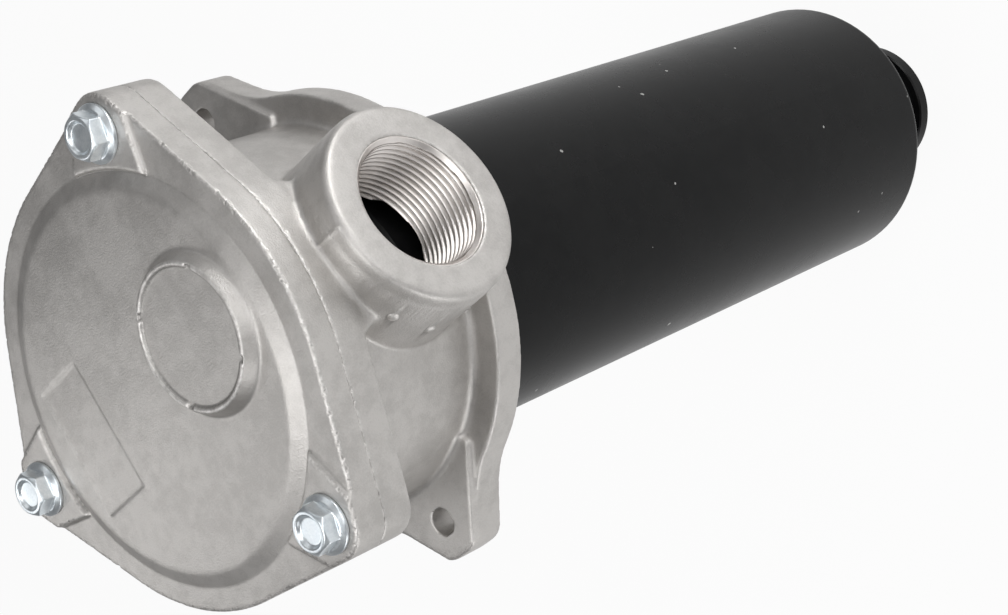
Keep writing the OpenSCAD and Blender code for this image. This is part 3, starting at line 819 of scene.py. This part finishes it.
def coverMelt(points):
    # the slope round the raised middle runs out softly
    shape = coverValues
    low, high = shape["slopeRise"]
    fromAxis = np.hypot(points[:, 0], points[:, 1])
    slope = fade(fromAxis, *shape["slopeFromAxis"]) * (1 - fade(fromAxis, *shape["slopeToAxis"]))
    return slope * fade(points[:, 2], shape["rimTop"] + low, shape["rimTop"] + high)


def coverSoftness(points):
    shape, kept = coverValues, coverKeptValues
    x, y, z = points.T
    softness = np.ones(len(points))
    (back, front), (right, left) = shape["label"]
    edge = kept["labelBand"]
    onLabel = (x > back - edge) & (x < front + edge) & (y > right - edge) & (y < left + edge)
    softness[onLabel & (z > shape["plateau"] - edge)] = kept["label"]
    offset, reach = shape["boss"]
    onBoss = (np.hypot(x - offset, y) < reach) & (z > shape["plateau"] + kept["bossRise"])
    softness[onBoss] = kept["boss"]
    softness[z < shape["joint"] + kept["jointBand"]] = kept["joint"]
    foot = np.abs(np.hypot(x, y) - shape["foot"]) < kept["footBand"]
    foot &= np.abs(z - shape["rimTop"]) < kept["footHeight"]
    softness[foot] = kept["foot"]
    return softness


def coverChange(points, normals, edges):
    shape = coverValues
    fromAxis = np.hypot(points[:, 0], points[:, 1])
    frontEdge = np.abs(points[:, 2] - shape["rimTop"]) < shape["tearBand"]
    frontEdge &= fromAxis > shape["tearFromAxis"]
    tearEdge(points, normals, edges, frontEdge, shape["tear"])
    return points


boltValues = {
    "voxel": 0.16 * mm,
    "passes": 8,
    "triangles": 24000,
    "dishRadius": 5.2 * mm,
    "dishDepth": 0.45 * mm,
    "dishReach": 1.5 * mm,
    "dishSlope": 2.5,
}


def boltSoftness(points):
    return np.ones(len(points))


def makeBolt(number, values):
    nodeName = f"cover_bolt_{number}"
    low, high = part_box(nodeName)
    middle = ((low[0] + high[0]) / 2, (low[1] + high[1]) / 2)

    def dishTop(points, normals, edges):
        # forged heads have a shallow dish in the top
        away = np.hypot(points[:, 0] - middle[0], points[:, 1] - middle[1]) / values["dishRadius"]
        top = points[:, 2] > high[2] - values["dishReach"]
        dish = np.clip(values["dishSlope"] - values["dishSlope"] * away ** 2, 0, 1)
        points[:, 2] -= np.where(top, values["dishDepth"] * dish, 0)
        return points

    bolt = growSkin(f"coverBolt{number}", nodeName, values, boltSoftness, dishTop)
    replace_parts(dress(bolt, zincPlate), nodeName)


print("head casting")
headCasting = growSkin("headCasting", "head", headValues, headSoftness, headChange, headMelt)
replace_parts(dress(headCasting, castHead), "head")
print("cover casting")
coverCasting = growSkin("coverCasting", "cover", coverValues, coverSoftness, coverChange, coverMelt)
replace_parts(dress(coverCasting, castCover), "cover")
print("bolts")
for number in (1, 2, 3):
    makeBolt(number, boltValues)


def makeBypassSpring():
    spring = copyNode("bypassSpring", "bypass_spring")
    dress(spring, inner["springSteel"])
    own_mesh(spring)
    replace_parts(spring, "bypass_spring")


print("bypass spring")
makeBypassSpring()

# Pipe thread of the inlet port: a threaded sleeve let into the bore's wall
threadValues = {
    "pitch": 25.4 / 11 * mm,
    "rootRadius": 20.955 * mm,
    "depth": 1.479 * mm,
    "straight": 0.55,  # the flanks are part straight V and part rounded
    "rounded": 0.45,
    "face": 84.7 * mm,
    "frontSetback": 0.7 * mm,
    "chamferRadius": 21.6 * mm,
    "length": 33.0 * mm,
    "lead": 1.5,  # pitches behind the sleeve's back end where the helix starts
    "spareTurns": 3,
    "chamber": 56.1 * mm,
    "axisHeight": 33 * mm,
    "slack": 0.05 * mm,
    "backing": 0.6 * mm,
    "weld": 0.0005 * mm,
    "perTurn": 120,
    "perPitch": 12,
}


def threadDepth(share, values):
    # depth over one pitch from the root at 0 to the crest at a half
    flank = min(1.0, max(0.0, (0.5 - abs(share - 0.5)) / 0.5))
    soft = 0.5 - 0.5 * math.cos(math.pi * flank)
    return values["depth"] * (values["straight"] * flank + values["rounded"] * soft)


def threadPoint(row, column, values):
    # the thread stops at the mouth's chamfer and where the bore breaks into the chamber
    turn = column / values["perTurn"]
    angle = turn * 2 * math.pi
    start = values["face"] - values["length"] - values["lead"] * values["pitch"]
    front = values["face"] - values["frontSetback"]
    wall = math.sqrt(values["chamber"] ** 2 - (values["rootRadius"] * math.cos(angle)) ** 2)
    back = max(wall, values["face"] - values["length"])
    along = start + values["pitch"] * (row / values["perPitch"] + turn)
    along = min(front, max(back, along))
    share = ((along - start) / values["pitch"] - turn) % 1.0
    chamfer = values["chamferRadius"] - (values["face"] - along)
    crest = values["rootRadius"] - values["depth"]
    # the chamfer is cut clean, and the thread starts behind it
    radius = chamfer if chamfer > crest else values["rootRadius"] - threadDepth(share, values)
    radius = min(radius, values["rootRadius"] + values["slack"])
    return along, radius * math.cos(angle), values["axisHeight"] + radius * math.sin(angle)


def makeThread(values):
    bm = bmesh.new()
    rows = int(values["length"] / values["pitch"] + values["spareTurns"]) * values["perPitch"]
    columns = range(values["perTurn"])
    grid = []
    for row in range(rows + 1):
        grid.append([bm.verts.new(threadPoint(row, column, values)) for column in columns])
    for row in range(rows):
        for column in columns:
            after = column + 1
            # one turn on, the grid has moved along by one pitch
            if after < values["perTurn"]:
                right, rightUp = grid[row][after], grid[row + 1][after]
            elif row + 1 + values["perPitch"] <= rows:
                right, rightUp = grid[row + values["perPitch"]][0], grid[row + 1 + values["perPitch"]][0]
            else:
                continue
            bm.faces.new((grid[row][column], right, rightUp, grid[row + 1][column]))
    bmesh.ops.remove_doubles(bm, verts=bm.verts, dist=values["weld"])
    edges = [edge for edge in bm.edges if edge.is_boundary]
    made = bmesh.ops.extrude_edge_only(bm, edges=edges)["geom"]
    outer = values["rootRadius"] + values["backing"]
    for vert in (item for item in made if isinstance(item, bmesh.types.BMVert)):
        spoke = Vector((0, vert.co.y, vert.co.z - values["axisHeight"])).normalized() * outer
        vert.co = (vert.co.x, spoke.y, spoke.z + values["axisHeight"])
    bmesh.ops.bridge_loops(bm, edges=[edge for edge in bm.edges if edge.is_boundary])
    bmesh.ops.recalc_face_normals(bm, faces=bm.faces)
    piece = addMesh("portThread", bm)
    for face in piece.data.polygons:
        face.use_smooth = True
    return piece


print("port thread")
dress(makeThread(threadValues), machinedThread)

# Floor: for the camera and in mirrors a share of its light is its own, so that it stays pale
floorValues = {
    "half": 3.0,
    "drop": 1.0 * mm,
    "colour": (0.88, 0.88, 0.88, 1),
    "roughness": 0.9,
    "glow": 1.0,
    "share": 0.93,
    "mirroredShare": 0.46,
}


def makeFloor(values):
    height = cadBox[0][2] - values["drop"]
    half = values["half"]
    bm = bmesh.new()
    places = ((-half, -half), (half, -half), (half, half), (-half, half))
    bm.faces.new([bm.verts.new((x, y, height)) for x, y in places])
    floor = addMesh("floor", bm)
    plain = {"Base Color": values["colour"], "Roughness": values["roughness"]}
    material, tree, shader = startMaterial("paleFloor", plain)
    seen = tree.nodes.new("ShaderNodeLightPath")
    glow = addNode(tree, "ShaderNodeEmission", values={"Strength": values["glow"]})
    mix = tree.nodes.new("ShaderNodeMixShader")
    direct = addMaths(tree, "MULTIPLY", seen.outputs["Is Camera Ray"], values["share"])
    mirrored = addMaths(tree, "MULTIPLY", seen.outputs["Is Glossy Ray"], values["mirroredShare"])
    tree.links.new(addMaths(tree, "MAXIMUM", direct, mirrored), mix.inputs[0])
    tree.links.new(shader.outputs[0], mix.inputs[1])
    tree.links.new(glow.outputs[0], mix.inputs[2])
    tree.links.new(mix.outputs[0], tree.nodes["Material Output"].inputs["Surface"])
    floor.data.materials.append(material)


print("floor")
makeFloor(floorValues)
